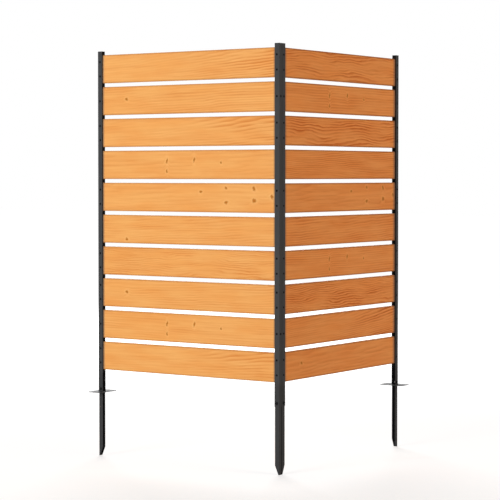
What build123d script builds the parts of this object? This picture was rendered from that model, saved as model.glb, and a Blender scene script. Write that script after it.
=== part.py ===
from build123d import *
import os

# Slats: flat boards with eased long edges, stacked from the top down.
slat_count = 10
slat_height = 89.0
slat_thickness = 10.0
slat_gap = 12.0
slat_edge = 1.0

# Panels: both are alike, and meet at a right angle.
panel_width = 692.0

# Posts: sheet folded to a channel that opens towards the slats.
sheet = 1.0
bend_radius = 0.5
slat_front_room = 2.8
slat_end_room = 3.0
post_flange = 17.0
post_leg = 72.0

# Holes on one line in the flange, eight-sided to keep the row light, and round ones in the web.
hole_diameter = 5.0
hole_sides = 8
hole_pair_spacing = 45.0
paired_rows_from_top = (1, 3, 5)
paired_rows_from_bottom = (1, 3, 4)
single_rows_from_each_end = (2,)

# Stakes: a second channel that slides up inside the post, cut to a point.
stake_reach = 204.0
stake_play = 0.1
stake_mouth_setback = 0.8
tip_height = 28.0
tip_width = 3.0

# Foot plates round the lower ends of the two outer posts.
plate_width = 84.0
plate_length = 50.0
plate_thickness = 1.5
plate_inset = 10.5
plate_lift = 0.8
plate_corner = 4.0
plate_play = 0.2

# Spacer strips: one comb in each post, in front of the slat ends and between them.
strip_play = 0.1
strip_mouth_setback = 0.3

# Stake screws and their weld nuts.
stake_screw_height = 10.0
stake_screw_play = 0.2
stake_screw_tip = 0.8
stake_head_overlap = 2.25
stake_head_height = 2.7
stake_head_edge = 0.8
nut_across_flats = 8.0
nut_height = 4.0

# Screws that join the two corner posts.
corner_screw_play = 1.0
corner_screw_bite = 7.0
corner_head_overlap = 1.5
corner_head_room = 0.6
corner_head_edge = 0.6
pilot_play = 0.1

# Heights, counted up from the stake points.
row_pitch = slat_height + slat_gap
post_foot = stake_reach
field_bottom = post_foot + post_leg
field_top = field_bottom + slat_count * row_pitch - slat_gap
post_top = field_top + slat_gap
stake_top = field_bottom - slat_gap

# Places across a panel: x runs along it from one web to the other, y from front to back.
post_depth = slat_thickness + slat_front_room + 2 * sheet
flange_hole_line = (post_flange + sheet + bend_radius) / 2
web_hole_line = post_depth / 2
channel_back = post_depth - sheet
slat_front = channel_back - slat_thickness
slat_start = sheet + slat_end_room
slat_length = panel_width - 2 * slat_start
stake_offset = sheet + stake_play
stake_depth = post_depth - 2 * stake_offset
stake_flange = post_flange - stake_offset - stake_mouth_setback

# Fasteners, sized by the holes and rooms that take them.
stake_screw_diameter = hole_diameter - stake_screw_play
stake_head_diameter = hole_diameter + 2 * stake_head_overlap
corner_screw_diameter = hole_diameter - corner_screw_play
corner_head_diameter = hole_diameter + 2 * corner_head_overlap
corner_head_height = slat_end_room - corner_head_room

# Place of the corner that centres the whole screen over the origin.
plate_outer_reach = max(plate_length / 2 - plate_inset, 0.0)
plate_front_reach = max(plate_width / 2 - post_depth / 2, 0.0)
corner_x = (panel_width + plate_outer_reach - plate_front_reach) / 2
front_y = (plate_front_reach - post_depth - panel_width - plate_outer_reach) / 2

FROM_CORNER = (Align.MIN, Align.MIN)
ON_BASE = (Align.CENTER, Align.CENTER, Align.MIN)
left_place = Pos(corner_x - panel_width, front_y, 0)
right_place = Pos(corner_x, front_y + post_depth, 0) * Rot(0, 0, 90)


def row_middle(row):
    """Height of the middle of a slat, with row 1 at the top."""
    return field_top - (row - 1) * row_pitch - slat_height / 2


def hole_heights():
    """Heights of the single holes, and of all the flange holes."""
    rows = range(1, slat_count + 1)
    single_rows = set(single_rows_from_each_end)
    single_rows |= {slat_count + 1 - row for row in single_rows_from_each_end}
    singles = [row_middle(row) for row in rows if row in single_rows]
    paired_rows = set(paired_rows_from_top) | {slat_count + 1 - row for row in paired_rows_from_bottom}
    paired = [row_middle(row) for row in rows if row in paired_rows - single_rows]
    pairs = [middle + side * hole_pair_spacing / 2 for middle in paired for side in (-1, 1)]
    return singles, singles + pairs


def channel(depth, flange, bottom, top):
    """Folded channel with its web on x = 0 and its mouth towards +x."""
    outer = Rectangle(flange, depth, align=FROM_CORNER)
    outer = fillet(outer.vertices().sort_by(Axis.X)[:2], bend_radius + sheet)
    inner = Pos(sheet, sheet) * Rectangle(flange, depth - 2 * sheet, align=FROM_CORNER)
    inner = fillet(inner.vertices().sort_by(Axis.X)[:2], bend_radius)
    return Pos(0, 0, bottom) * extrude(outer - inner, top - bottom)


def rod_along_y(x, start_y, end_y, z, diameter):
    """Round bar that runs from front to back."""
    return Pos(x, start_y, z) * Rot(-90, 0, 0) * Cylinder(diameter / 2, end_y - start_y, align=ON_BASE)


def flange_hole(x, y, z):
    """Cutter for one hole through a flange whose front face is at y."""
    outline = RegularPolygon(hole_diameter / 2, hole_sides, major_radius=False)
    return Pos(x, y, z) * Rot(-90, 0, 0) * extrude(outline, sheet)


def rod_along_x(start_x, end_x, y, z, diameter):
    """Round bar that runs along the panel."""
    return Pos(start_x, y, z) * Rot(0, 90, 0) * Cylinder(diameter / 2, end_x - start_x, align=ON_BASE)


def headed_screw(diameter, length, head_diameter, head_height, head_edge):
    """Screw on the z axis, with its head above z = 0 and its shank below."""
    head = Cylinder(head_diameter / 2, head_height, align=ON_BASE)
    head = chamfer(head.edges().group_by(Axis.Z)[-1], head_edge)
    return head + Pos(0, 0, -length) * Cylinder(diameter / 2, length, align=ON_BASE)


def post(joined_behind=False):
    """Post with its punched holes; joined_behind adds the back holes that take the corner screws."""
    singles, flange_holes = hole_heights()
    body = channel(post_depth, post_flange, post_foot, post_top)
    flange_holes.append(post_foot + stake_screw_height)
    holes = [flange_hole(flange_hole_line, 0, z) for z in flange_holes]
    holes += [rod_along_x(0, sheet, web_hole_line, z, hole_diameter) for z in singles]
    if joined_behind:
        holes += [flange_hole(web_hole_line, channel_back, z) for z in singles]
    return body - holes


def stake():
    """Stake nested in the post, with flanges that slope down to a blunt point at the web."""
    body = Pos(stake_offset, stake_offset, 0) * channel(stake_depth, stake_flange, 0, stake_top)
    mouth = stake_offset + stake_flange
    slope = make_face(Polyline((stake_offset + tip_width, 0), (mouth, 0), (mouth, tip_height), close=True))
    body -= Pos(0, post_depth, 0) * Rot(90, 0, 0) * extrude(slope, post_depth)
    return body - flange_hole(flange_hole_line, stake_offset, post_foot + stake_screw_height)


def foot_plate():
    """Plate round the post's lower end, with a window that the post stands in."""
    plate = RectangleRounded(plate_length, plate_width, plate_corner)
    window = Rectangle(post_flange + 2 * plate_play, post_depth + 2 * plate_play, align=FROM_CORNER)
    outline = Pos(plate_inset, post_depth / 2) * plate - Pos(-plate_play, -plate_play) * window
    return Pos(0, 0, post_foot + plate_lift) * extrude(outline, plate_thickness)


def spacer_strip():
    """Comb that presses the slats back, with a block in every gap, one on the stake and one at the top."""
    front = sheet + strip_play
    strip_depth = slat_front - strip_play - front
    block_depth = channel_back - strip_play - front
    length = post_flange - strip_mouth_setback - slat_start
    section = Pos(front, stake_top) * Rectangle(strip_depth, post_top - stake_top, align=FROM_CORNER)
    for gap in range(slat_count + 1):
        bottom = stake_top + gap * row_pitch
        section += Pos(front, bottom) * Rectangle(block_depth, slat_gap, align=FROM_CORNER)
    return Pos(slat_start, 0, 0) * extrude(Plane.YZ * section, length)


def slat(row, screwed_at_far_end=False):
    """Slat that reaches into both posts; screwed_at_far_end bores it for a corner screw."""
    section = chamfer(Rectangle(slat_thickness, slat_height).vertices(), slat_edge)
    middle_y = slat_front + slat_thickness / 2
    board = Pos(slat_start, middle_y, row_middle(row)) * extrude(Plane.YZ * section, slat_length)
    if screwed_at_far_end:
        bore_diameter = corner_screw_diameter + pilot_play
        bore_start = channel_back - corner_screw_bite - pilot_play
        x = panel_width - web_hole_line
        board -= rod_along_y(x, bore_start, channel_back, row_middle(row), bore_diameter)
    return board


def stake_screw():
    """Screw through the front flanges of post and stake into the weld nut."""
    length = stake_offset + sheet + nut_height + stake_screw_tip
    screw = headed_screw(
        stake_screw_diameter, length, stake_head_diameter, stake_head_height, stake_head_edge
    )
    return Pos(flange_hole_line, 0, post_foot + stake_screw_height) * Rot(90, 0, 0) * screw


def weld_nut():
    """Hexagon nut on the inner face of the stake's front flange."""
    hexagon = RegularPolygon(nut_across_flats / 2, 6, major_radius=False, rotation=30)
    nut = extrude(hexagon - Circle(hole_diameter / 2), nut_height)
    return Pos(flange_hole_line, stake_offset + sheet, post_foot + stake_screw_height) * Rot(-90, 0, 0) * nut


def corner_screw(z):
    """Screw from inside the second corner post, through the first one and into its slat."""
    length = 2 * sheet + corner_screw_bite
    screw = headed_screw(
        corner_screw_diameter, length, corner_head_diameter, corner_head_height, corner_head_edge
    )
    return Pos(sheet, web_hole_line, z) * Rot(0, 90, 0) * screw


def far_end(piece):
    """The same piece for the panel's other end, facing back along it."""
    return Pos(panel_width, 0, 0) * mirror(piece, about=Plane.YZ)


def panel_nodes():
    """Every node of the screen by name, in its final place."""
    nodes = {}
    ends = {
        "left_outer": lambda piece: left_place * piece,
        "left_corner": lambda piece: left_place * far_end(piece),
        "right_corner": lambda piece: right_place * piece,
        "right_outer": lambda piece: right_place * far_end(piece),
    }
    for end, place in ends.items():
        nodes[f"{end}_post"] = place(post(joined_behind=end == "left_corner"))
        nodes[f"{end}_stake"] = place(stake())
        nodes[f"{end}_spacer_strip"] = place(spacer_strip())
        if end.endswith("outer"):
            nodes[f"{end}_foot_plate"] = place(foot_plate())
    nodes["stake_screws"] = Compound(children=[place(stake_screw()) for place in ends.values()])
    nodes["stake_weld_nuts"] = Compound(children=[place(weld_nut()) for place in ends.values()])
    singles, _ = hole_heights()
    nodes["corner_screws"] = Compound(children=[right_place * corner_screw(z) for z in singles])
    for row in range(1, slat_count + 1):
        nodes[f"left_slat_{row:02d}"] = left_place * slat(row, row_middle(row) in singles)
        nodes[f"right_slat_{row:02d}"] = right_place * slat(row)
    return nodes


os.makedirs("parts", exist_ok=True)
for name, piece in panel_nodes().items():
    export_step(piece, f"parts/{name}.step")
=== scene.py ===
"""Corner screen of wood slats in folded black posts on ground stakes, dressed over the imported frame."""

import logging
import math
import random
from dataclasses import dataclass, replace
from enum import Enum

import bmesh
import bpy
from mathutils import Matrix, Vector

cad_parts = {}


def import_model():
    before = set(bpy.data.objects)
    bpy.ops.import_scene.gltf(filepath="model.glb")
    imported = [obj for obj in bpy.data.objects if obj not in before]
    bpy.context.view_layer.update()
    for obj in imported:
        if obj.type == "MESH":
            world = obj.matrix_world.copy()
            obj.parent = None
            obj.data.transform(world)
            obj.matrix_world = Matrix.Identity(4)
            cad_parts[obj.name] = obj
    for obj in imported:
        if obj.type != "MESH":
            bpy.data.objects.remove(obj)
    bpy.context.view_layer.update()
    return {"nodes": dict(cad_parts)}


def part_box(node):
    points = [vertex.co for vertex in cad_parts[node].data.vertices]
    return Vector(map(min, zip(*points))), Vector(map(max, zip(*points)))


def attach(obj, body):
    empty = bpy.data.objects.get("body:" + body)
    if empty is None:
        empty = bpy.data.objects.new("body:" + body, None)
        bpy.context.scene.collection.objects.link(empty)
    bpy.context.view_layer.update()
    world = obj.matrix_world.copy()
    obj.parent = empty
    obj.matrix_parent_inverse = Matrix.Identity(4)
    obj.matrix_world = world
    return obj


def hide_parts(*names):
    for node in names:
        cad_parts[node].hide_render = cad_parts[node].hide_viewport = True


LOG = logging.getLogger("corner_screen")

Colour = tuple[float, float, float]
Place = tuple[float, float, float]
Span = tuple[float, float]
Profile = list[tuple[float, float]]
Socket = bpy.types.NodeSocket
Nodes = dict[str, bpy.types.Object]

# Node sockets: types in a group, places in a colour Mix node, and the ends of a ramp.
VALUE = "NodeSocketFloat"
VECTOR = "NodeSocketVector"
COLOUR_INPUTS = (6, 7)
COLOUR_OUTPUT = 2
RISING: Span = (0.0, 1.0)
FALLING: Span = (1.0, 0.0)
NOISE_MEAN = 0.5

# Inputs of the board figure that depend on how the board was sawn.
CUT_SOCKETS = ("Pith Height", "Pith Depth", "Lean", "Dip", "Sway", "Strength", "Strong End")

# Holes of a post: how many lie over each slat from the top down, and their distance from web and front.
HOLES_PER_ROW = (2, 1, 2, 0, 2, 0, 2, 2, 1, 2)
HOLE_FROM_WEB = 0.00925
HOLE_FROM_FRONT = 0.0074

# Meshes of the new pieces.
TURN_STEPS = 24
MERGE_DISTANCE = 1e-6
SHARP_FROM = math.radians(40.0)
SIXTH_TURN = math.pi / 3

# How far boards differ in ring width and in the seed of their noise, and how large knots are drawn.
RING_SPREAD: Span = (0.8, 1.25)
SEED_STEP = 3.7
RIGHT_SEED = 50.0
KNOT_SPREAD = 1.15


class Side(Enum):
    """The two panels of the screen."""

    LEFT = "left"
    RIGHT = "right"


class End(Enum):
    """The two posts of a panel."""

    OUTER = "outer"
    CORNER = "corner"


# The one web whose outside is hidden, against the other corner post.
COVERED_WEB = (Side.RIGHT, End.CORNER)


class Cut(Enum):
    """How a board was sawn, as one value for each of CUT_SOCKETS."""

    CALM = (0.060, 0.110, 0.006, 0.020, 0.8, 0.30, 0.0)
    STRAIGHT = (-0.150, 0.070, 0.004, 0.012, 0.5, 0.45, 0.0)
    RIFT = (0.085, 0.060, 0.020, 0.030, 0.9, 0.60, 0.0)
    TAIL = (0.062, 0.050, 0.030, 0.060, 0.8, 1.00, 1.0)
    WAVY = (-0.080, 0.055, 0.015, 0.020, 1.9, 1.00, 0.0)

    def inputs(self) -> dict[str, float]:
        """The figure group's inputs for this cut."""
        return dict(zip(CUT_SOCKETS, self.value))


class Coat(Enum):
    """The uses of the dark coats and of bare steel."""

    SHEET = "sheet"
    RIM = "rim"
    PLATE = "plate"
    STRIP = "strip"
    SCREW = "screw"
    NUT = "nut"


Coats = dict[Coat, bpy.types.Material]


@dataclass(frozen=True)
class Grain:
    """A layer of noise: cells per metre in each direction, octaves, strength of the fine ones, seed."""

    cells: Place
    octaves: float
    roughness: float = 0.5
    seed: float = 0.0


class NodeCanvas:
    """A shader node tree with short calls for the nodes that the finishes use."""

    def __init__(self, tree: bpy.types.NodeTree) -> None:
        """Takes over the tree of a material, a world or a node group."""
        self.tree = tree

    def node(self, kind: str, **settings: object) -> bpy.types.Node:
        """Adds a node.

        Args:
            kind: the node's type name.
            settings: attributes to set on it.

        Returns:
            The new node.
        """
        made = self.tree.nodes.new(kind)
        for name, value in settings.items():
            setattr(made, name, value)
        return made

    def feed(self, target: Socket, source: Socket | float | Colour) -> None:
        """Gives a socket its input.

        Args:
            target: the socket.
            source: a socket to link it to, or a plain value to set.
        """
        if isinstance(source, bpy.types.NodeSocket):
            self.tree.links.new(source, target)
        else:
            target.default_value = source

    def math(self, operation: str, *terms: Socket | float, clamp: bool = False) -> Socket:
        """Adds a Math node.

        Args:
            operation: the Math node's operation.
            terms: its inputs in order.
            clamp: whether the result is held between 0 and 1.

        Returns:
            The node's result.
        """
        made = self.node("ShaderNodeMath", operation=operation, use_clamp=clamp)
        for slot, term in zip(made.inputs, terms):
            self.feed(slot, term)
        return made.outputs[0]

    def plus(self, first: Socket | float, second: Socket | float) -> Socket:
        """The sum of two values."""
        return self.math("ADD", first, second)

    def minus(self, first: Socket | float, second: Socket | float) -> Socket:
        """The first value less the second."""
        return self.math("SUBTRACT", first, second)

    def times(self, first: Socket | float, second: Socket | float) -> Socket:
        """The product of two values."""
        return self.math("MULTIPLY", first, second)

    def hypotenuse(self, first: Socket, second: Socket) -> Socket:
        """The length of a line from its two parts at right angles."""
        squares = self.plus(self.times(first, first), self.times(second, second))
        return self.math("SQRT", squares)

    def fold(self, operation: str, terms: list[Socket]) -> Socket:
        """Joins several values by one Math operation, two at a time.

        Args:
            operation: the Math node's operation.
            terms: the values, at least one.

        Returns:
            The joined value.
        """
        total = terms[0]
        for term in terms[1:]:
            total = self.math(operation, total, term)
        return total

    def ramp(self, value: Socket, span: tuple[Socket | float, float], to: Span = RISING) -> Socket:
        """Adds a smooth Map Range.

        Args:
            value: the value to map.
            span: the two values between which the result changes.
            to: the results at the two ends of the span.

        Returns:
            The mapped value.
        """
        made = self.node("ShaderNodeMapRange", interpolation_type="SMOOTHSTEP")
        for slot, term in zip(made.inputs, (value, *span, *to)):
            self.feed(slot, term)
        return made.outputs[0]

    def mix(self, factor: Socket | float, first: Socket | Colour, second: Socket | Colour) -> Socket:
        """Adds a colour Mix node.

        Args:
            factor: how much of the second colour shows.
            first: colour at factor 0.
            second: colour at factor 1.

        Returns:
            The mixed colour.
        """
        made = self.node("ShaderNodeMix", data_type="RGBA")
        self.feed(made.inputs["Factor"], factor)
        for index, term in zip(COLOUR_INPUTS, (first, second)):
            self.feed(made.inputs[index], (*term, 1.0) if isinstance(term, tuple) else term)
        return made.outputs[COLOUR_OUTPUT]

    def split(self, vector: Socket) -> tuple[Socket, ...]:
        """Parts a vector into its three numbers.

        Args:
            vector: the vector.

        Returns:
            The numbers along x, y and z.
        """
        made = self.node("ShaderNodeSeparateXYZ")
        self.feed(made.inputs[0], vector)
        return tuple(made.outputs)

    def join(self, *parts: Socket) -> Socket:
        """Joins three numbers into a vector.

        Args:
            parts: the numbers along x, y and z.

        Returns:
            The vector.
        """
        made = self.node("ShaderNodeCombineXYZ")
        for slot, part in zip(made.inputs, parts):
            self.feed(slot, part)
        return made.outputs[0]

    def noise(self, place: Socket, grain: Grain, seed: Socket | None = None) -> Socket:
        """Adds four-dimensional noise.

        Args:
            place: the place on the piece.
            grain: the noise's cells, octaves, roughness and seed.
            seed: a further seed of the piece's own.

        Returns:
            The noise value, which is NOISE_MEAN on average.
        """
        stretched = self.node("ShaderNodeVectorMath", operation="MULTIPLY")
        self.feed(stretched.inputs[0], place)
        self.feed(stretched.inputs[1], grain.cells)
        made = self.node("ShaderNodeTexNoise", noise_dimensions="4D")
        self.feed(made.inputs["Vector"], stretched.outputs[0])
        self.feed(made.inputs["W"], grain.seed if seed is None else self.plus(seed, grain.seed))
        self.feed(made.inputs["Scale"], 1.0)
        self.feed(made.inputs["Detail"], grain.octaves)
        self.feed(made.inputs["Roughness"], grain.roughness)
        return made.outputs[0]

    def push(self, noise: Socket, reach: float) -> Socket:
        """Centres noise on 0 and scales it to a reach."""
        return self.times(self.minus(noise, NOISE_MEAN), reach)

    def bump(self, height: Socket, strength: float, distance: float) -> Socket:
        """Adds a Bump node.

        Args:
            height: the relief, in shares of the distance.
            strength: how much of it shows.
            distance: the relief's height in metres.

        Returns:
            The bent normal.
        """
        made = self.node("ShaderNodeBump")
        self.feed(made.inputs["Strength"], strength)
        self.feed(made.inputs["Distance"], distance)
        self.feed(made.inputs["Height"], height)
        return made.outputs[0]


class ShaderGroup:
    """A node group with named sockets, built once and shared by several finishes."""

    def __init__(self, name: str, inputs: dict[str, str], outputs: tuple[str, ...]) -> None:
        """Makes the group and its sockets.

        Args:
            name: the group's name.
            inputs: socket name to socket type.
            outputs: names of the value outputs.
        """
        self.tree = bpy.data.node_groups.new(name, "ShaderNodeTree")
        self.canvas = NodeCanvas(self.tree)
        for socket, kind in inputs.items():
            self.tree.interface.new_socket(socket, in_out="INPUT", socket_type=kind)
        for socket in outputs:
            self.tree.interface.new_socket(socket, in_out="OUTPUT", socket_type=VALUE)
        self.source = self.canvas.node("NodeGroupInput").outputs
        self.result = self.canvas.node("NodeGroupOutput").inputs

    def deliver(self, values: dict[str, Socket]) -> None:
        """Links the group's outputs by name."""
        for name, value in values.items():
            self.canvas.feed(self.result[name], value)

    def place(self, canvas: NodeCanvas, values: dict[str, Socket | float | Colour]) -> dict[str, Socket]:
        """Places the group in another tree.

        Args:
            canvas: the tree that uses the group.
            values: input name to link or value.

        Returns:
            The group's outputs by name.
        """
        made = canvas.node("ShaderNodeGroup", node_tree=self.tree)
        for name, value in values.items():
            canvas.feed(made.inputs[name], value)
        return {socket.name: socket for socket in made.outputs}


@dataclass(frozen=True)
class BoardFigure:
    """Growth rings, streaks, fibres and tone clouds of a sawn board, and masks of painted shade on its long
    edges and ends.

    Places are metres from the board's middle: along it, through it and up it.
    """

    drift: Grain = Grain((5.0, 12.0, 12.0), 2.0)
    drift_reach: float = 0.020
    shiver: Grain = Grain((16.0, 60.0, 60.0), 2.0, seed=7.0)
    shiver_reach: float = 0.005
    late_rise: Span = (0.15, 0.80)
    late_close: Span = (0.82, 1.0)
    patch: Grain = Grain((6.0, 34.0, 34.0), 2.0, seed=11.0)
    patch_span: Span = (0.36, 0.64)
    patch_share: Span = (0.15, 1.0)
    strong_span: Span = (-0.05, 0.30)
    strong_share: Span = (-0.75, 0.25)
    streak: Grain = Grain((5.0, 150.0, 150.0), 4.0, 0.60)
    fibre: Grain = Grain((18.0, 640.0, 640.0), 3.0, 0.62)
    cloud: Grain = Grain((7.0, 30.0, 30.0), 3.0, seed=3.0)
    # Painted shade: the span across the height that darkens the long edges, the length at which the shade
    # towards the ends is full, and the span over which the ends inside the posts go near-black.
    edge_shade_span: Span = (0.0392, 0.0418)
    end_shade_length: float = 0.3285
    inner_end_shade_span: Span = (0.3305, 0.3325)

    def build(self) -> ShaderGroup:
        """Builds the group.

        Returns:
            The group, with outputs Rings, Streak, Fibre and Cloud, and three masks of painted shade: on the
            long edges, towards the ends by the posts, and on the ends inside the posts.
        """
        numbers = (*CUT_SOCKETS, "Seed", "Ring Width", "Knot Pull", "Unshaded Length")
        inputs = {"Board": VECTOR} | {name: VALUE for name in numbers}
        outputs = ("Rings", "Streak", "Fibre", "Cloud", "Edge Shade", "End", "Inner End Shade")
        group = ShaderGroup("board_figure", inputs, outputs)
        canvas, source = group.canvas, group.source
        board, seed = source["Board"], source["Seed"]
        along, depth, height = canvas.split(board)
        drift = canvas.push(canvas.noise(board, self.drift, seed), self.drift_reach)
        shiver = canvas.push(canvas.noise(board, self.shiver, seed), self.shiver_reach)
        sway = canvas.times(canvas.plus(drift, shiver), source["Sway"])
        swung = canvas.join(along, depth, canvas.plus(height, sway))
        reach = canvas.math("ABSOLUTE", along)
        group.deliver({
            "Rings": canvas.times(self.late_wood(group, sway), self.strength(group)),
            "Streak": canvas.noise(swung, self.streak, seed),
            "Fibre": canvas.noise(swung, self.fibre, seed),
            "Cloud": canvas.noise(board, self.cloud, seed),
            # Masks of painted shade on the long edges, towards the ends by the posts and on the ends inside
            # the posts.
            "Edge Shade": canvas.ramp(canvas.math("ABSOLUTE", height), self.edge_shade_span),
            "End": canvas.ramp(reach, (source["Unshaded Length"], self.end_shade_length)),
            "Inner End Shade": canvas.ramp(reach, self.inner_end_shade_span),
        })
        return group

    def late_wood(self, group: ShaderGroup, sway: Socket) -> Socket:
        """Draws the late wood of the rings round a pith that leans and dips along the board.

        Args:
            group: the group under construction.
            sway: how far noise moves the rings.

        Returns:
            1 in the late wood, 0 in the early wood.
        """
        canvas, source = group.canvas, group.source
        along, depth, height = canvas.split(source["Board"])
        lean = canvas.times(source["Lean"], along)
        dip = canvas.times(source["Dip"], along)
        rise = canvas.minus(canvas.minus(height, source["Pith Height"]), lean)
        inward = canvas.plus(canvas.plus(depth, source["Pith Depth"]), dip)
        radius = canvas.plus(canvas.hypotenuse(rise, inward), canvas.plus(sway, source["Knot Pull"]))
        phase = canvas.math("FRACT", canvas.math("DIVIDE", radius, source["Ring Width"]))
        return canvas.times(canvas.ramp(phase, self.late_rise), canvas.ramp(phase, self.late_close, FALLING))

    def strength(self, group: ShaderGroup) -> Socket:
        """Fades the rings in patches, and towards one end where the cut asks for it.

        Args:
            group: the group under construction.

        Returns:
            The strength of the rings.
        """
        canvas, source = group.canvas, group.source
        along = canvas.split(source["Board"])[0]
        patch = canvas.noise(source["Board"], self.patch, source["Seed"])
        shown = canvas.ramp(patch, self.patch_span, self.patch_share)
        towards = canvas.ramp(along, self.strong_span, self.strong_share)
        end = canvas.plus(1.0, canvas.times(source["Strong End"], towards))
        return canvas.fold("MULTIPLY", [shown, end, source["Strength"]])


@dataclass(frozen=True)
class PinKnot:
    """One small ragged knot and the way the rings swing round it, in shares of the knot's half sizes."""

    swing_rate: float = 230.0
    swing_reach: float = 0.0016
    torn: Grain = Grain((260.0, 260.0, 260.0), 2.0, seed=1.7)
    torn_reach: float = 1.5
    core_span: Span = (0.35, 1.25)
    halo_span: Span = (0.9, 2.6)
    pull_span: Span = (0.0, 4.0)
    pull: Span = (0.007, 0.0)

    def build(self) -> ShaderGroup:
        """Builds the group.

        Returns:
            The group, with outputs Core, Halo and Pull.
        """
        numbers = ("Along", "Height", "Half Width", "Half Height")
        inputs = {"Board": VECTOR} | {name: VALUE for name in numbers}
        group = ShaderGroup("pin_knot", inputs, ("Core", "Halo", "Pull"))
        canvas, source = group.canvas, group.source
        along, _, height = canvas.split(source["Board"])
        wave = canvas.math("SINE", canvas.times(height, self.swing_rate))
        shifted = canvas.plus(along, canvas.times(wave, self.swing_reach))
        aside = canvas.math("DIVIDE", canvas.minus(shifted, source["Along"]), source["Half Width"])
        above = canvas.math("DIVIDE", canvas.minus(height, source["Height"]), source["Half Height"])
        torn = canvas.push(canvas.noise(source["Board"], self.torn), self.torn_reach)
        away = canvas.plus(canvas.hypotenuse(aside, above), torn)
        group.deliver({
            "Core": canvas.ramp(away, self.core_span, FALLING),
            "Halo": canvas.ramp(away, self.halo_span, FALLING),
            "Pull": canvas.ramp(away, self.pull_span, self.pull),
        })
        return group


@dataclass(frozen=True)
class CoatGrain:
    """The fine pebbled skin of a baked powder coat; each coat scales the pebbles itself."""

    pebble: Grain = Grain((1.0, 1.0, 1.0), 2.0, 0.55, seed=0.4)
    patch: Grain = Grain((9.0, 9.0, 4.0), 3.0, seed=2.1)
    fleck: Grain = Grain((900.0, 900.0, 900.0), 1.0, seed=5.3)
    fleck_span: Span = (0.60, 0.74)

    def build(self) -> ShaderGroup:
        """Builds the group.

        Returns:
            The group, with outputs Pebble, Patch and Fleck.
        """
        inputs = {"Place": VECTOR, "Pebble Scale": VALUE}
        group = ShaderGroup("coat_grain", inputs, ("Pebble", "Patch", "Fleck"))
        canvas, source = group.canvas, group.source
        scaled = canvas.node("ShaderNodeVectorMath", operation="SCALE")
        canvas.feed(scaled.inputs[0], source["Place"])
        canvas.feed(scaled.inputs["Scale"], source["Pebble Scale"])
        group.deliver({
            "Pebble": canvas.noise(scaled.outputs[0], self.pebble),
            "Patch": canvas.noise(source["Place"], self.patch),
            "Fleck": canvas.ramp(canvas.noise(source["Place"], self.fleck), self.fleck_span),
        })
        return group


class Groups:
    """The shared shader groups."""

    def __init__(self) -> None:
        """Builds each group once."""
        self.figure = BoardFigure().build()
        self.knot = PinKnot().build()
        self.coat = CoatGrain().build()


def blank_material(name: str) -> tuple[bpy.types.Material, NodeCanvas, bpy.types.Node, Socket]:
    """Makes a material with a Principled shader and Object coordinates.

    Args:
        name: the material's name.

    Returns:
        The material, its canvas, the shader node and the Object coordinate.
    """
    material = bpy.data.materials.new(name)
    material.use_nodes = True
    material.node_tree.nodes.clear()
    canvas = NodeCanvas(material.node_tree)
    shader = canvas.node("ShaderNodeBsdfPrincipled")
    output = canvas.node("ShaderNodeOutputMaterial")
    canvas.feed(output.inputs["Surface"], shader.outputs[0])
    place = canvas.node("ShaderNodeTexCoord").outputs["Object"]
    return material, canvas, shader, place


@dataclass(frozen=True)
class CoatFinish:
    """A dark baked or moulded skin, or bare steel, with a pebbled, slightly patchy surface.

    A foot_shade under 1 darkens it below foot_span, a span of heights.
    """

    name: str
    tone: Colour
    worn_tone: Colour
    roughness: Span
    pebble_scale: float
    relief: float
    specular: float = 0.5
    metallic: float = 0.0
    foot_shade: float = 1.0
    foot_span: Span = (0.255, 0.285)
    patch_span: Span = (0.30, 0.72)
    fleck_share: float = 0.35
    pebble_gloss: float = 0.6
    patch_gloss: float = 0.4
    gloss_span: Span = (0.2, 0.8)
    pebble_height: float = 0.0004

    def make(self, groups: Groups) -> bpy.types.Material:
        """Builds the material.

        Args:
            groups: the shared shader groups.

        Returns:
            The finished material.
        """
        material, canvas, shader, place = blank_material(self.name)
        skin = groups.coat.place(canvas, {"Place": place, "Pebble Scale": self.pebble_scale})
        uneven = canvas.ramp(skin["Patch"], self.patch_span)
        base = canvas.mix(uneven, self.tone, self.worn_tone)
        base = canvas.mix(canvas.times(skin["Fleck"], self.fleck_share), base, self.worn_tone)
        if self.foot_shade < 1.0:
            low_down = canvas.ramp(canvas.split(place)[2], self.foot_span, FALLING)
            base = canvas.mix(low_down, base, tuple(part * self.foot_shade for part in self.tone))
        pebble = canvas.times(skin["Pebble"], self.pebble_gloss)
        gloss = canvas.plus(pebble, canvas.times(uneven, self.patch_gloss))
        canvas.feed(shader.inputs["Base Color"], base)
        canvas.feed(shader.inputs["Roughness"], canvas.ramp(gloss, self.gloss_span, self.roughness))
        canvas.feed(shader.inputs["Normal"], canvas.bump(skin["Pebble"], self.relief, self.pebble_height))
        shader.inputs["Specular IOR Level"].default_value = self.specular
        shader.inputs["Metallic"].default_value = self.metallic
        return material


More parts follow.
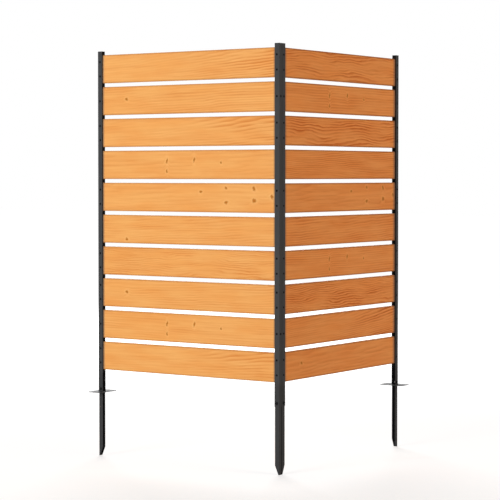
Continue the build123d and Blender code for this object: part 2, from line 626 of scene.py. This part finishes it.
@dataclass(frozen=True)
class WoodFinish:
    """Oiled softwood: pale and warm early wood, darker late wood and brown knots in a pale ring.

    Long edges and the ends by the posts carry painted shade, and the ends inside the posts are painted
    near-black for the shade there.
    """

    pale: Colour
    warm: Colour
    late: Colour
    knot: Colour
    knot_ring: Colour
    # The next three colours, with their strengths and the length that stays unshaded, are painted shade: on
    # the long edges, towards the ends by the posts, and near-black on the ends inside the posts.
    edge: Colour
    end: Colour
    inner_end_shade: Colour
    edge_shade_strength: float
    end_shade_strength: float
    unshaded_length: float
    ring_width: float
    late_strength: float
    roughness: Span
    relief: float
    specular: float = 0.15
    cloud_span: Span = (0.30, 0.70)
    streak_span: Span = (0.34, 0.70)
    streak_share: float = 0.24
    fibre_span: Span = (0.34, 0.72)
    fibre_share: float = 0.14
    fibre_relief: float = -0.5
    ring_relief: float = 0.6
    knot_ring_share: float = 0.28
    gloss_span: Span = (0.0, 0.9)
    relief_height: float = 0.0005

    def make(self, groups: Groups, board: "Board", centre: Vector) -> bpy.types.Material:
        """Builds the material of one board.

        Args:
            groups: the shared shader groups.
            board: the board's own cut, knots and seed.
            centre: the middle of the board.

        Returns:
            The finished material.
        """
        material, canvas, shader, place = blank_material(f"wood_{board.node}")
        spot = self.spot_on_board(canvas, place, board.side, centre)
        knots = [groups.knot.place(canvas, {"Board": spot} | knot.inputs()) for knot in board.knots]
        figure = groups.figure.place(canvas, board.cut.inputs() | {
            "Board": spot,
            "Seed": board.seed,
            "Ring Width": self.ring_width * board.ring_scale,
            "Knot Pull": canvas.fold("ADD", [knot["Pull"] for knot in knots]) if knots else 0.0,
            "Unshaded Length": self.unshaded_length,
        })
        streak = canvas.times(canvas.ramp(figure["Streak"], self.streak_span), self.streak_share)
        fibre = canvas.ramp(figure["Fibre"], self.fibre_span)
        rings = canvas.times(figure["Rings"], self.late_strength)
        strands = canvas.plus(streak, canvas.times(fibre, self.fibre_share))
        shade = canvas.math("ADD", strands, rings, clamp=True)
        base = canvas.mix(canvas.ramp(figure["Cloud"], self.cloud_span), self.pale, self.warm)
        base = canvas.mix(shade, base, self.late)
        relief = canvas.plus(canvas.times(fibre, self.fibre_relief), canvas.times(rings, self.ring_relief))
        if knots:
            halo = canvas.fold("MAXIMUM", [knot["Halo"] for knot in knots])
            core = canvas.fold("MAXIMUM", [knot["Core"] for knot in knots])
            base = canvas.mix(canvas.times(halo, self.knot_ring_share), base, self.knot_ring)
            base = canvas.mix(core, base, self.knot)
            relief = canvas.minus(relief, core)
        # Painted shade: darker long edges, darker ends by the posts, and near-black ends inside the posts.
        base = canvas.mix(canvas.times(figure["Edge Shade"], self.edge_shade_strength), base, self.edge)
        base = canvas.mix(canvas.times(figure["End"], self.end_shade_strength), base, self.end)
        base = canvas.mix(figure["Inner End Shade"], base, self.inner_end_shade)
        canvas.feed(shader.inputs["Base Color"], base)
        canvas.feed(shader.inputs["Roughness"], canvas.ramp(shade, self.gloss_span, self.roughness))
        canvas.feed(shader.inputs["Normal"], canvas.bump(relief, self.relief, self.relief_height))
        shader.inputs["Specular IOR Level"].default_value = self.specular
        return material

    def spot_on_board(self, canvas: NodeCanvas, place: Socket, side: Side, centre: Vector) -> Socket:
        """Centres the coordinate on a board and turns x along it.

        Args:
            canvas: the material's canvas.
            place: the Object coordinate.
            side: the board's panel.
            centre: the middle of the board.

        Returns:
            The place from the board's middle: along it, through it and up it.
        """
        mapping = canvas.node("ShaderNodeMapping")
        canvas.feed(mapping.inputs["Vector"], place)
        if side is Side.LEFT:
            mapping.inputs["Location"].default_value = (-centre.x, -centre.y, -centre.z)
        else:
            mapping.inputs["Location"].default_value = (-centre.y, centre.x, -centre.z)
            mapping.inputs["Rotation"].default_value = (0.0, 0.0, -math.pi / 2)
        return mapping.outputs[0]


@dataclass(frozen=True)
class Knot:
    """A small knot on a board's face: its place from the board's middle and its half sizes, in metres."""

    along: float
    height: float
    half_width: float = 0.0034
    half_height: float = 0.0080

    def inputs(self) -> dict[str, float]:
        """The knot group's inputs."""
        return {
            "Along": self.along,
            "Height": self.height,
            "Half Width": self.half_width * KNOT_SPREAD,
            "Half Height": self.half_height * KNOT_SPREAD,
        }


@dataclass
class Board:
    """One slat, dressed in its own piece of wood."""

    side: Side
    row: int
    cut: Cut
    knots: tuple[Knot, ...] = ()
    ring_scale: float = 1.0

    @property
    def node(self) -> str:
        """Name of the slat's node."""
        return f"{self.side.value}_slat_{self.row:02d}"

    @property
    def seed(self) -> float:
        """A number of the board's own for its noise."""
        return self.row * SEED_STEP + (RIGHT_SEED if self.side is Side.RIGHT else 0.0)

    def dress(self, nodes: Nodes, finish: WoodFinish, groups: Groups) -> None:
        """Gives the slat its wood.

        Args:
            nodes: the frame's nodes by name.
            finish: the tones of the wood.
            groups: the shared shader groups.
        """
        low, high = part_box(self.node)
        centre = (Vector(low) + Vector(high)) / 2
        coat_with(nodes[self.node], finish.make(groups, self, centre))
        LOG.info("dressed %s, %s cut", self.node, self.cut.name.lower())


def coat_with(piece: bpy.types.Object, material: bpy.types.Material) -> None:
    """Puts one material on every slot of a piece.

    Args:
        piece: the piece.
        material: its material.
    """
    if not piece.material_slots:
        piece.data.materials.append(material)
    for slot in piece.material_slots:
        slot.material = material


def add_object(name: str, data: bpy.types.ID) -> bpy.types.Object:
    """Adds an object to the scene.

    Args:
        name: the object's name.
        data: its mesh, lamp or camera.

    Returns:
        The new object.
    """
    made = bpy.data.objects.new(name, data)
    bpy.context.scene.collection.objects.link(made)
    return made


def new_piece(
    shape: bmesh.types.BMesh, name: str, material: bpy.types.Material
) -> bpy.types.Object:
    """Turns a finished shape into a piece that rides on the frame's only body.

    Args:
        shape: the shape, which is freed.
        name: the piece's name.
        material: its material.

    Returns:
        The new piece.
    """
    bmesh.ops.remove_doubles(shape, verts=shape.verts, dist=MERGE_DISTANCE)
    bmesh.ops.recalc_face_normals(shape, faces=shape.faces)
    mesh = bpy.data.meshes.new(name)
    shape.to_mesh(mesh)
    shape.free()
    mesh.shade_smooth()
    mesh.set_sharp_from_angle(angle=SHARP_FROM)
    piece = add_object(name, mesh)
    coat_with(piece, material)
    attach(piece, "root")
    LOG.info("built %s with %d faces", name, len(mesh.polygons))
    return piece


@dataclass(frozen=True)
class HoleLine:
    """The upright line on a face of a post on which its holes lie."""

    start: Vector
    outward: Vector
    aside: Vector

    @classmethod
    def on_flange(cls, side: Side, end: End) -> "HoleLine":
        """Finds the line on a post's front face, from the foot of the post.

        Args:
            side: the post's panel.
            end: the post's end of the panel.

        Returns:
            The line.
        """
        low, high = (Vector(corner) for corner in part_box(f"{side.value}_{end.value}_post"))
        if side is Side.LEFT:
            x = low.x + HOLE_FROM_WEB if end is End.OUTER else high.x - HOLE_FROM_WEB
            return cls(Vector((x, low.y, low.z)), Vector((0.0, -1.0, 0.0)), Vector((1.0, 0.0, 0.0)))
        y = high.y - HOLE_FROM_WEB if end is End.OUTER else low.y + HOLE_FROM_WEB
        return cls(Vector((high.x, y, low.z)), Vector((1.0, 0.0, 0.0)), Vector((0.0, 1.0, 0.0)))

    @classmethod
    def on_web(cls, side: Side, end: End) -> "HoleLine":
        """Finds the line on the outside of a post's web, from the foot of the post.

        Args:
            side: the post's panel.
            end: the post's end of the panel.

        Returns:
            The line.
        """
        low, high = (Vector(corner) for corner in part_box(f"{side.value}_{end.value}_post"))
        away = -1.0 if (side is Side.LEFT) == (end is End.OUTER) else 1.0
        if side is Side.LEFT:
            x = low.x if end is End.OUTER else high.x
            start = Vector((x, low.y + HOLE_FROM_FRONT, low.z))
            return cls(start, Vector((away, 0.0, 0.0)), Vector((0.0, 1.0, 0.0)))
        y = high.y if end is End.OUTER else low.y
        start = Vector((high.x - HOLE_FROM_FRONT, y, low.z))
        return cls(start, Vector((0.0, away, 0.0)), Vector((1.0, 0.0, 0.0)))

    def at(self, height: float) -> Vector:
        """The point of the line at a height over the ground."""
        return Vector((self.start.x, self.start.y, height))

    def turn(self, shape: bmesh.types.BMesh, centre: Vector, profile: Profile, closed: bool) -> None:
        """Spins a profile round the outward axis through a point of the line.

        Args:
            shape: the shape that takes the new faces.
            centre: the point.
            profile: radius and height pairs.
            closed: whether the last point joins the first.
        """
        places = [centre + self.aside * radius + self.outward * rise for radius, rise in profile]
        points = [shape.verts.new(place) for place in places]
        pairs = list(zip(points, points[1:]))
        if closed:
            pairs.append((points[-1], points[0]))
        edges = [shape.edges.new(pair) for pair in pairs]
        bmesh.ops.spin(
            shape, geom=points + edges, cent=centre, axis=self.outward, angle=2 * math.pi,
            steps=TURN_STEPS, use_merge=True,
        )
        bmesh.ops.remove_doubles(shape, verts=shape.verts, dist=MERGE_DISTANCE)


@dataclass
class HoleRims:
    """Rims of built-up coat round the punched holes of one post, near-black as painted shade that widens the
    dark of each hole.
    """

    side: Side
    end: End
    bore_radius: float = 0.00244
    sleeve_radius: float = 0.00249
    rim_radius: float = 0.00330
    rim_rise: float = 0.00018
    shoulder_inset: float = 0.00008
    shoulder_share: float = 0.6
    lip_inset: float = 0.00012
    lip_share: float = 0.55
    mouth_drop: float = 0.00010
    sunk: float = 0.00005
    sheet: float = 0.00100
    pair_spacing: float = 0.045

    def heights(self, single_only: bool = False) -> list[float]:
        """Heights of the holes, from the slats behind them.

        Args:
            single_only: whether rows with a pair of holes are left out.

        Returns:
            The heights from the top down.
        """
        pair = () if single_only else (self.pair_spacing / 2, -self.pair_spacing / 2)
        steps = {0: (), 1: (0.0,), 2: pair}
        found = []
        for row, count in enumerate(HOLES_PER_ROW, start=1):
            low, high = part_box(f"{self.side.value}_slat_{row:02d}")
            found += [(low[2] + high[2]) / 2 + step for step in steps[count]]
        return found

    def profile(self) -> Profile:
        """Section of one rim: a low roll on the face and a sleeve through the sheet.

        Returns:
            Radius and height pairs, round the section.
        """
        return [
            (self.rim_radius, -self.sunk),
            (self.rim_radius - self.shoulder_inset, self.rim_rise * self.shoulder_share),
            ((self.bore_radius + self.rim_radius) / 2, self.rim_rise),
            (self.bore_radius + self.lip_inset, self.rim_rise * self.lip_share),
            (self.bore_radius, -self.mouth_drop),
            (self.bore_radius, -self.sheet),
            (self.sleeve_radius, -self.sheet),
            (self.sleeve_radius, -self.sunk),
        ]

    def build(self, material: bpy.types.Material) -> bpy.types.Object:
        """Builds the rims of the post as one piece.

        Args:
            material: the coat of the rims.

        Returns:
            The piece.
        """
        rows = [(HoleLine.on_flange(self.side, self.end), self.heights())]
        if (self.side, self.end) != COVERED_WEB:
            rows.append((HoleLine.on_web(self.side, self.end), self.heights(single_only=True)))
        shape = bmesh.new()
        for line, heights in rows:
            for height in heights:
                line.turn(shape, line.at(height), self.profile(), closed=True)
        return new_piece(shape, f"{self.side.value}_{self.end.value}_hole_rims", material)


@dataclass
class StakeScrews:
    """The four screws that hold the stakes in the posts, with hexagon sockets and turned threads."""

    over_foot: float = 0.010
    head_radius: float = 0.00475
    head_height: float = 0.0027
    head_round: float = 0.0008
    head_steps: int = 4
    shank_radius: float = 0.0024
    shank_length: float = 0.0069
    thread_depth: float = 0.0003
    thread_pitch: float = 0.0008
    socket_flats: float = 0.0040
    socket_depth: float = 0.0017

    def profile(self) -> Profile:
        """Section of a screw from its tip, up the thread and over the head to the socket.

        Returns:
            Radius and height pairs.
        """
        root = self.shank_radius - self.thread_depth
        points = [(0.0, -self.shank_length), (root - self.thread_depth, -self.shank_length)]
        rise = -self.shank_length + self.thread_pitch
        while rise < -self.thread_pitch:
            points += [(root, rise - self.thread_pitch / 2), (self.shank_radius, rise)]
            rise += self.thread_pitch
        points += [(self.shank_radius, 0.0), (self.head_radius, 0.0)]
        for step in range(self.head_steps + 1):
            turn = step / self.head_steps * math.pi / 2
            reach = self.head_radius - self.head_round * (1 - math.cos(turn))
            points.append((reach, self.head_height - self.head_round * (1 - math.sin(turn))))
        points.append((self.socket_flats / math.sqrt(3.0), self.head_height))
        return points

    def sink_socket(self, shape: bmesh.types.BMesh, line: HoleLine, centre: Vector) -> None:
        """Draws the open ring on a head in to a hexagon, sinks it and closes its floor.

        Args:
            shape: the shape, whose only open ring is the one on the head.
            line: the line that the screw stands on.
            centre: the screw's point on the line.
        """
        rim = [edge for edge in shape.edges if edge.is_boundary]
        for corner in {corner for edge in rim for corner in edge.verts}:
            spoke = corner.co - centre
            angle = math.atan2(spoke.z, spoke.dot(line.aside)) % SIXTH_TURN
            reach = self.socket_flats / 2 / math.cos(angle - SIXTH_TURN / 2)
            flat = spoke - line.outward * spoke.dot(line.outward)
            corner.co += flat.normalized() * (reach - flat.length)
        sunk = bmesh.ops.extrude_edge_only(shape, edges=rim)["geom"]
        floor = [item for item in sunk if isinstance(item, bmesh.types.BMVert)]
        bmesh.ops.translate(shape, verts=floor, vec=line.outward * -self.socket_depth)
        ring = [item for item in sunk if isinstance(item, bmesh.types.BMEdge) and item.is_boundary]
        bmesh.ops.contextual_create(shape, geom=ring)

    def build(self, material: bpy.types.Material) -> bpy.types.Object:
        """Builds the four screws as one piece that stands for their node.

        Args:
            material: the coat of the screws.

        Returns:
            The piece.
        """
        shape = bmesh.new()
        for side in Side:
            for end in End:
                line = HoleLine.on_flange(side, end)
                centre = line.at(line.start.z + self.over_foot)
                line.turn(shape, centre, self.profile(), closed=False)
                self.sink_socket(shape, line, centre)
        piece = new_piece(shape, "socket_screws", material)
        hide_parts("stake_screws")
        return piece


@dataclass
class Panel:
    """Ten slats between two posts, with the cuts and knots that the boards show."""

    side: Side
    wood: WoodFinish
    cuts: tuple[Cut, ...]
    knots: dict[int, tuple[Knot, ...]]
    seed: int

    def boards(self) -> list[Board]:
        """Picks the panel's boards.

        Returns:
            The boards from the top down.
        """
        rolls = random.Random(self.seed)
        return [
            Board(self.side, row, cut, self.knots.get(row, ()), rolls.uniform(*RING_SPREAD))
            for row, cut in enumerate(self.cuts, start=1)
        ]

    def dress(self, nodes: Nodes, coats: Coats, groups: Groups) -> None:
        """Dresses the panel's slats, posts, stakes, strips and plate, and adds the rims of its holes.

        Args:
            nodes: the frame's nodes by name.
            coats: the ready materials by use.
            groups: the shared shader groups.
        """
        for board in self.boards():
            board.dress(nodes, self.wood, groups)
        for end in End:
            for part, coat in POST_COATS.items():
                node = f"{self.side.value}_{end.value}_{part}"
                if node in nodes:
                    coat_with(nodes[node], coats[coat])
                    LOG.info("dressed %s", node)
            HoleRims(self.side, end).build(coats[Coat.RIM])


@dataclass(frozen=True)
class Lamp:
    """A square soft lamp: its name, place, side in metres, power in watts and colour."""

    name: str
    place: Place
    size: float
    power: float
    tone: Colour

    def hang(self, aim: Place) -> None:
        """Hangs the lamp.

        Args:
            aim: the point that it looks at.
        """
        lamp = bpy.data.lights.new(self.name, "AREA")
        lamp.shape = "SQUARE"
        lamp.size = self.size
        lamp.energy = self.power
        lamp.color = self.tone
        holder = add_object(self.name, lamp)
        holder.location = self.place
        sight = Vector(aim) - holder.location
        holder.rotation_euler = sight.to_track_quat("-Z", "Y").to_euler()


@dataclass
class Studio:
    """White floor and surroundings, soft lamps and the camera."""

    floor_reach: float = 30.0
    floor_tone: Colour = (0.45, 0.45, 0.45)
    seen_floor_tone: Colour = (0.60, 0.60, 0.60)
    near_lift: float = 0.62
    far_lift: float = 0.34
    lift_span: Span = (1.2, 3.0)
    ambient: float = 0.08
    lamp_aim: Place = (0.0, 0.0, 0.7)
    lamps: tuple[Lamp, ...] = (
        Lamp("key", (-1.6, -10.4, 2.1), 4.0, 957.0, (1.0, 0.99, 0.97)),
        Lamp("fill", (6.2, 0.4, 1.55), 2.8, 189.0, (1.0, 0.86, 0.74)),
        Lamp("back", (-3.4, 4.2, 3.4), 3.0, 270.0, (1.0, 1.0, 1.0)),
    )
    camera_place: Place = (3.3523, -4.8860, 0.8959)
    camera_yaw: float = 34.5004
    camera_pitch: float = 1.7270
    camera_lens: float = 132.310
    camera_sensor: float = 36.0
    camera_shift: float = -0.04
    camera_sight: float = 200.0

    def seen_rays(self, canvas: NodeCanvas) -> Socket:
        """Tells rays that show a surface from those that only carry its light.

        Args:
            canvas: the tree that asks.

        Returns:
            1 for camera, mirror and glass rays, else 0.
        """
        path = canvas.node("ShaderNodeLightPath").outputs
        direct = canvas.math("MAXIMUM", path["Is Camera Ray"], path["Is Glossy Ray"])
        return canvas.math("MAXIMUM", direct, path["Is Transmission Ray"])

    def floor_material(self) -> bpy.types.Material:
        """Builds a pale floor that shows white and keeps the shadow.

        Returns:
            The finished material.
        """
        material = bpy.data.materials.new("floor_white")
        material.use_nodes = True
        material.node_tree.nodes.clear()
        canvas = NodeCanvas(material.node_tree)
        seen = self.seen_rays(canvas)
        away = canvas.node("ShaderNodeVectorMath", operation="LENGTH")
        canvas.feed(away.inputs[0], canvas.node("ShaderNodeTexCoord").outputs["Object"])
        far = canvas.ramp(away.outputs["Value"], self.lift_span)
        lift = canvas.plus(canvas.times(far, self.far_lift), self.near_lift)
        matt = canvas.node("ShaderNodeBsdfDiffuse")
        canvas.feed(matt.inputs["Color"], canvas.mix(seen, self.floor_tone, self.seen_floor_tone))
        glow = canvas.node("ShaderNodeEmission")
        canvas.feed(glow.inputs["Strength"], canvas.times(seen, lift))
        both = canvas.node("ShaderNodeAddShader")
        canvas.feed(both.inputs[0], matt.outputs[0])
        canvas.feed(both.inputs[1], glow.outputs[0])
        canvas.feed(canvas.node("ShaderNodeOutputMaterial").inputs["Surface"], both.outputs[0])
        return material

    def build_floor(self) -> None:
        """Lays the floor."""
        mesh = bpy.data.meshes.new("floor")
        shape = bmesh.new()
        bmesh.ops.create_grid(shape, x_segments=1, y_segments=1, size=self.floor_reach)
        shape.to_mesh(mesh)
        shape.free()
        floor = add_object("floor", mesh)
        coat_with(floor, self.floor_material())

    def build_world(self) -> None:
        """Surrounds the object with white that lights it at a plain level."""
        world = bpy.data.worlds.new("studio")
        bpy.context.scene.world = world
        world.use_nodes = True
        world.node_tree.nodes.clear()
        canvas = NodeCanvas(world.node_tree)
        sky = canvas.node("ShaderNodeBackground")
        sky.inputs["Color"].default_value = (1.0, 1.0, 1.0, 1.0)
        strength = canvas.ramp(self.seen_rays(canvas), RISING, (self.ambient, 1.0))
        canvas.feed(sky.inputs["Strength"], strength)
        canvas.feed(canvas.node("ShaderNodeOutputWorld").inputs["Surface"], sky.outputs[0])

    def build_camera(self) -> None:
        """Sets the camera where the photograph was taken from."""
        camera = bpy.data.cameras.new("camera")
        camera.lens = self.camera_lens
        camera.sensor_width = self.camera_sensor
        camera.shift_y = self.camera_shift
        camera.clip_end = self.camera_sight
        holder = add_object("camera", camera)
        holder.location = self.camera_place
        tilt = math.radians(90.0 - self.camera_pitch)
        holder.rotation_euler = (tilt, 0.0, math.radians(self.camera_yaw))
        bpy.context.scene.camera = holder

    def build(self) -> None:
        """Builds the whole studio."""
        bpy.context.scene.view_settings.view_transform = "Standard"
        self.build_floor()
        self.build_world()
        for lamp in self.lamps:
            lamp.hang(self.lamp_aim)
        self.build_camera()


# Wood of the two panels; the right one is a slightly redder copy, with stronger lines and darker edges, that
# paints the shade of the panel turned from the key lamp.
LEFT_WOOD = WoodFinish(
    pale=(0.88, 0.44, 0.132),
    warm=(0.86, 0.388, 0.102),
    late=(0.66, 0.205, 0.034),
    knot=(0.46, 0.145, 0.008),
    knot_ring=(0.95, 0.54, 0.19),
    # Painted shade on the long edges, towards the ends by the posts, and near-black on the ends inside the
    # posts.
    edge=(0.30, 0.10, 0.012),
    end=(0.10, 0.09, 0.08),
    inner_end_shade=(0.008, 0.007, 0.006),
    edge_shade_strength=0.36,
    end_shade_strength=0.75,
    unshaded_length=0.3200,
    ring_width=0.0062,
    late_strength=0.62,
    roughness=(0.50, 0.62),
    relief=0.22,
)
# Painted shade: a redder copy of the left wood for the panel the key lamp doesn't reach.
SHADED_RIGHT_WOOD = replace(
    LEFT_WOOD,
    pale=(0.88, 0.354, 0.091),
    warm=(0.86, 0.312, 0.070),
    late=(0.55, 0.124, 0.015),
    knot_ring=(0.95, 0.437, 0.130),
    edge_shade_strength=0.60,
    unshaded_length=0.3115,
    late_strength=0.84,
)

# Coats by use: name, tone, worn tone, roughness, pebbles per metre, relief and specular level.
COATS = {
    Coat.SHEET: CoatFinish(
        "black_coat", (0.043, 0.044, 0.046), (0.055, 0.056, 0.058), (0.74, 0.90), 1300.0, 0.16, 0.15,
        foot_shade=0.88,
    ),
    # Near-black rims: painted shade that widens the dark of each punched hole.
    Coat.RIM: CoatFinish(
        "rim_painted_shade", (0.006, 0.006, 0.006), (0.010, 0.010, 0.011), (0.60, 0.74), 1500.0, 0.08, 0.02,
    ),
    Coat.PLATE: CoatFinish(
        "plate_coat", (0.034, 0.035, 0.037), (0.045, 0.046, 0.048), (0.54, 0.66), 1300.0, 0.06, 0.15,
    ),
    # Black plastic strips, made near-black and dull partly as painted shade of the channel gaps between the
    # slats.
    Coat.STRIP: CoatFinish(
        "strip_plastic", (0.006, 0.006, 0.006), (0.010, 0.010, 0.010), (0.60, 0.76), 2200.0, 0.10, 0.05,
    ),
    # Black screws; their near-black tone is partly painted shade, for the dark round the stake screws at the
    # feet of the posts.
    Coat.SCREW: CoatFinish(
        "screw_coat", (0.007, 0.007, 0.008), (0.012, 0.012, 0.013), (0.62, 0.78), 1800.0, 0.06, 0.08,
    ),
    Coat.NUT: CoatFinish(
        "bare_steel", (0.12, 0.12, 0.125), (0.20, 0.20, 0.205), (0.42, 0.56), 900.0, 0.08, metallic=1.0,
    ),
}

# Coats of the nodes at each post, and of the nodes that both panels share.
POST_COATS = {"post": Coat.SHEET, "stake": Coat.SHEET, "spacer_strip": Coat.STRIP, "foot_plate": Coat.PLATE}
SHARED_COATS = {"stake_screws": Coat.SCREW, "corner_screws": Coat.SCREW, "stake_weld_nuts": Coat.NUT}

# Knots that several boards have in common.
DASHES = (
    Knot(-0.074, 0.012),
    Knot(-0.074, -0.020, 0.003, 0.006),
    Knot(0.030, 0.014),
    Knot(0.132, 0.006, 0.003, 0.004),
)
CLUSTER = (
    Knot(0.054, 0.018, 0.005, 0.004),
    Knot(0.150, 0.030, 0.005, 0.004),
    Knot(0.150, -0.014, 0.006, 0.005),
    Knot(0.252, 0.028, 0.005, 0.007),
    Knot(0.252, -0.008, 0.007, 0.006),
    Knot(0.318, 0.004, 0.005, 0.007),
)
SPECK = (Knot(-0.232, 0.004, 0.005, 0.005),)
LOW_SPECK = (Knot(-0.234, -0.032, 0.005, 0.005),)

# The two panels: cuts of the boards from the top down, and knots by row.
PANELS = (
    Panel(
        Side.LEFT,
        LEFT_WOOD,
        (
            Cut.TAIL, Cut.RIFT, Cut.TAIL, Cut.CALM, Cut.CALM,
            Cut.RIFT, Cut.WAVY, Cut.RIFT, Cut.STRAIGHT, Cut.TAIL,
        ),
        {2: SPECK, 4: DASHES, 5: CLUSTER, 6: LOW_SPECK, 8: SPECK, 9: DASHES},
        seed=11,
    ),
    Panel(
        Side.RIGHT,
        SHADED_RIGHT_WOOD,
        (
            Cut.WAVY, Cut.STRAIGHT, Cut.WAVY, Cut.RIFT, Cut.CALM,
            Cut.RIFT, Cut.STRAIGHT, Cut.WAVY, Cut.TAIL, Cut.CALM,
        ),
        {2: DASHES, 5: CLUSTER, 7: DASHES, 10: SPECK},
        seed=23,
    ),
)


def main() -> None:
    """Loads the frame, dresses every piece and builds the studio."""
    logging.basicConfig(level=logging.INFO, format="%(name)s: %(message)s")
    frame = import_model()
    nodes = frame["nodes"]
    groups = Groups()
    coats = {use: finish.make(groups) for use, finish in COATS.items()}
    for panel in PANELS:
        panel.dress(nodes, coats, groups)
    for node, coat in SHARED_COATS.items():
        coat_with(nodes[node], coats[coat])
        LOG.info("dressed %s", node)
    StakeScrews().build(coats[Coat.SCREW])
    Studio().build()


if __name__ == "__main__":
    main()
